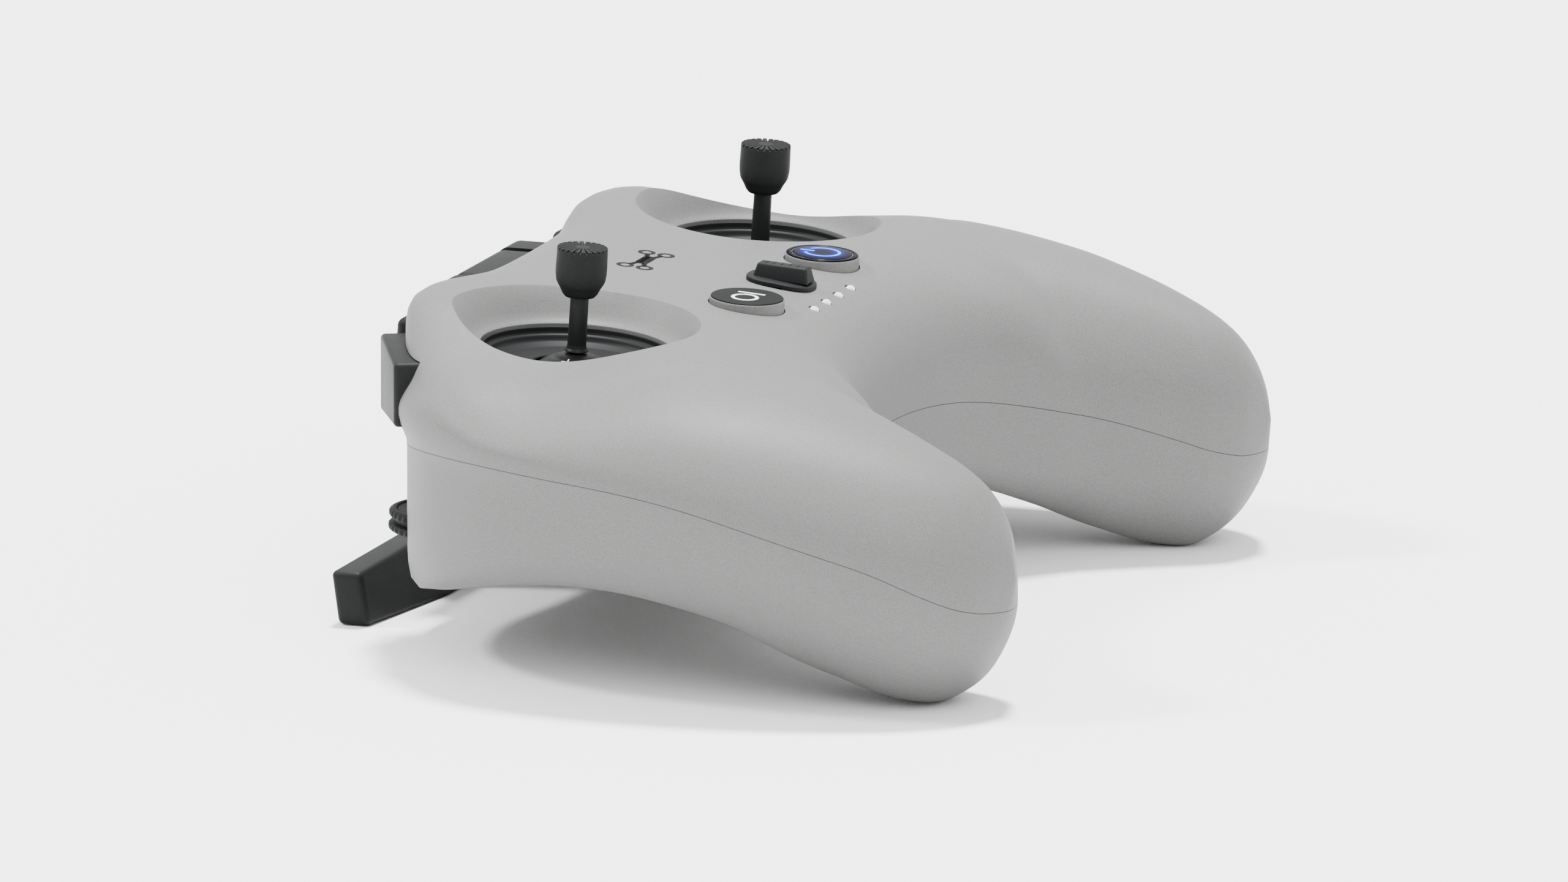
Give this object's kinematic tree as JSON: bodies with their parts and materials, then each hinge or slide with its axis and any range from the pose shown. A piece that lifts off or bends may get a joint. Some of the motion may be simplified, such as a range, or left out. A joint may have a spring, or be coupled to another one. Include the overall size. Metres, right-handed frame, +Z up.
{
  "type": "radio transmitter controller",
  "caption": "Gamepad-style radio transmitter with two gimbal sticks, deck buttons, a mode slider, shoulder bumpers, a finger dial and a fold-out antenna.",
  "frame": {"origin": "centre of the footprint, on the plane the grips and the antenna bar rest on", "axes": "+X to the user's right, +Y away from the user, +Z up"},
  "size_m": [0.1648, 0.1194, 0.0633],
  "materials": {
    "shell_plastic": "fine-grained matte",
    "black_plastic": "fine-grained matte",
    "power_lens": "glossy",
    "light_lens": "satin",
    "frame_plastic": "matte",
    "circuit_board": "satin",
    "battery_wrap": "satin",
    "steel": "satin"
  },
  "bodies": {
    "controller": {"upper_shell": "shell_plastic", "lower_shell": "shell_plastic", "gimbal_bezel_left": "black_plastic", "gimbal_bezel_right": "black_plastic", "antenna_hinge_lugs": "black_plastic", "battery_lights": "light_lens", "gimbal_housing_left": "frame_plastic", "gimbal_housing_right": "frame_plastic", "dial_bracket": "frame_plastic", "main_board": "circuit_board", "battery_pack": "battery_wrap", "antenna_hinge_pin": "steel", "usb_port": "steel", "shell_screw_1": "steel", "shell_screw_2": "steel", "shell_screw_3": "steel", "shell_screw_4": "steel", "shell_screw_5": "steel", "shell_screw_6": "steel"},
    "yoke_left": {"gimbal_yoke_left": "frame_plastic"},
    "stick_left": {"stick_base_left": "black_plastic", "stick_shaft_left": "black_plastic", "stick_lock_ring_left": "black_plastic", "stick_cap_left": "black_plastic"},
    "bumper_left": {"bumper_left": "black_plastic"},
    "fn_button_left": {"fn_button_left": "black_plastic"},
    "yoke_right": {"gimbal_yoke_right": "frame_plastic"},
    "stick_right": {"stick_base_right": "black_plastic", "stick_shaft_right": "black_plastic", "stick_lock_ring_right": "black_plastic", "stick_cap_right": "black_plastic"},
    "bumper_right": {"bumper_right": "black_plastic"},
    "fn_button_right": {"fn_button_right": "black_plastic"},
    "c1_button": {"c1_button": "shell_plastic", "c1_button_face": "black_plastic"},
    "power_button": {"power_button": "shell_plastic", "power_button_face": "power_lens"},
    "mode_slider": {"mode_slider": "black_plastic"},
    "dial": {"gimbal_dial": "black_plastic"},
    "antenna": {"antenna": "black_plastic"}
  },
  "joints": [
    {"name": "stick_pitch_left", "type": "hinge", "parent": "controller", "child": "yoke_left", "pos_m": [-0.0418, 0.01938, 0.03677], "axis": [1, 0, 0], "range_deg": [-22, 22]},
    {"name": "stick_roll_left", "type": "hinge", "parent": "yoke_left", "child": "stick_left", "pos_m": [-0.0418, 0.01938, 0.03677], "axis": [0, 0.9979, 0.0645], "range_deg": [-22, 22], "stiffness_Nm_per_rad": 0.025},
    {"name": "stick_pitch_right", "type": "hinge", "parent": "controller", "child": "yoke_right", "pos_m": [0.0418, 0.01938, 0.03677], "axis": [1, 0, 0], "range_deg": [-22, 22], "stiffness_Nm_per_rad": 0.025},
    {"name": "stick_roll_right", "type": "hinge", "parent": "yoke_right", "child": "stick_right", "pos_m": [0.0418, 0.01938, 0.03677], "axis": [0, 0.9979, 0.0645], "range_deg": [-22, 22], "stiffness_Nm_per_rad": 0.025},
    {"name": "c1_press", "type": "slide", "parent": "controller", "child": "c1_button", "axis": [0, 0.0645, -0.9979], "range_m": [0, 0.0007], "stiffness_N_per_m": 900},
    {"name": "power_press", "type": "slide", "parent": "controller", "child": "power_button", "axis": [0, 0.0645, -0.9979], "range_m": [0, 0.0007], "stiffness_N_per_m": 900},
    {"name": "mode_slide", "type": "slide", "parent": "controller", "child": "mode_slider", "axis": [1, 0, 0], "range_m": [-0.003, 0.003]},
    {"name": "bumper_press_left", "type": "slide", "parent": "controller", "child": "bumper_left", "axis": [0.4337, -0.9011, 0], "range_m": [0, 0.001], "stiffness_N_per_m": 900},
    {"name": "fn_press_left", "type": "slide", "parent": "controller", "child": "fn_button_left", "axis": [0, -1, 0], "range_m": [0, 0.0008], "stiffness_N_per_m": 900},
    {"name": "bumper_press_right", "type": "slide", "parent": "controller", "child": "bumper_right", "axis": [-0.4337, -0.9011, 0], "range_m": [0, 0.001], "stiffness_N_per_m": 900},
    {"name": "fn_press_right", "type": "slide", "parent": "controller", "child": "fn_button_right", "axis": [0, -1, 0], "range_m": [0, 0.0008], "stiffness_N_per_m": 900},
    {"name": "gimbal_dial_turn", "type": "hinge", "parent": "controller", "child": "dial", "pos_m": [-0.048, 0.0384, 0.0196], "axis": [0, -0.0645, 0.9979], "range_deg": [-35, 35], "stiffness_Nm_per_rad": 0.01},
    {"name": "antenna_fold", "type": "hinge", "parent": "controller", "child": "antenna", "pos_m": [0, 0.0468, 0.0456], "axis": [1, 0, 0], "range_deg": [0, 165]}
  ]
}
